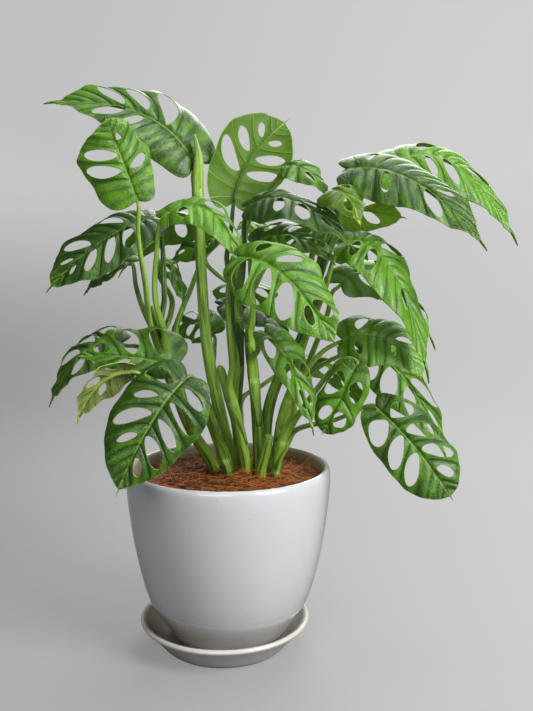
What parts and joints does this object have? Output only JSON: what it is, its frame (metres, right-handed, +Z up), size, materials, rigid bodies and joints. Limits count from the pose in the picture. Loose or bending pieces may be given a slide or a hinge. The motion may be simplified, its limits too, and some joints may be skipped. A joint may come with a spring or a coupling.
{
  "type": "potted monstera adansonii",
  "caption": "Swiss cheese plant (Monstera adansonii) with holed green leaves on upright stems, growing in coir in a round pale grey glazed pot that stands on a saucer",
  "frame": {"origin": "on the ground, under the axis of the pot, at the height of the saucer's flat underside", "axes": "+Z is up; +X is the plant's right as seen from the front, where its longest leaves reach; -Y looks at the viewer in front"},
  "size_m": [0.3862, 0.2551, 0.4648],
  "materials": {
    "pot_glaze": "gloss",
    "saucer_glaze": "gloss",
    "coir": "matte",
    "stem": "satin",
    "leaf": "satin",
    "leaf_young": "satin",
    "leaf_old": "satin"
  },
  "bodies": {
    "root": {"saucer": "saucer_glaze", "pot": "pot_glaze", "coir": "coir", "stem_left": "stem", "stem_side": "stem", "stem_front": "stem", "stem_tall": "stem", "stem_middle": "stem", "stem_centre": "stem", "stem_right": "stem", "stem_low": "stem", "stem_outer": "stem", "stem_cut": "stem", "stem_back": "stem", "leaf_left_top": "leaf", "leaf_left_small": "leaf", "leaf_left_middle": "leaf", "leaf_left_behind": "leaf", "leaf_left_bright": "leaf", "leaf_centre_dark": "leaf", "leaf_centre_hanging": "leaf", "leaf_centre_top": "leaf_young", "leaf_centre_upper": "leaf", "leaf_front": "leaf", "leaf_front_hanging": "leaf", "leaf_centre_shade": "leaf", "leaf_centre_wide": "leaf", "leaf_centre_glow": "leaf_young", "leaf_right_top": "leaf", "leaf_right_high": "leaf", "leaf_right_backlit": "leaf_young", "leaf_right_round": "leaf_young", "leaf_centre_right": "leaf", "leaf_right_long": "leaf", "leaf_right_under": "leaf", "leaf_low_upper": "leaf", "leaf_low_middle": "leaf", "leaf_low_outer": "leaf", "leaf_low_small": "leaf", "leaf_outer_left": "leaf", "leaf_left_green": "leaf", "leaf_left_pale": "leaf_old", "leaf_front_low": "leaf", "leaf_back_left": "leaf", "leaf_back_right": "leaf", "leaf_back_middle": "leaf", "leaf_back_low_left": "leaf", "leaf_back_low_right": "leaf"}
  },
  "joints": []
}
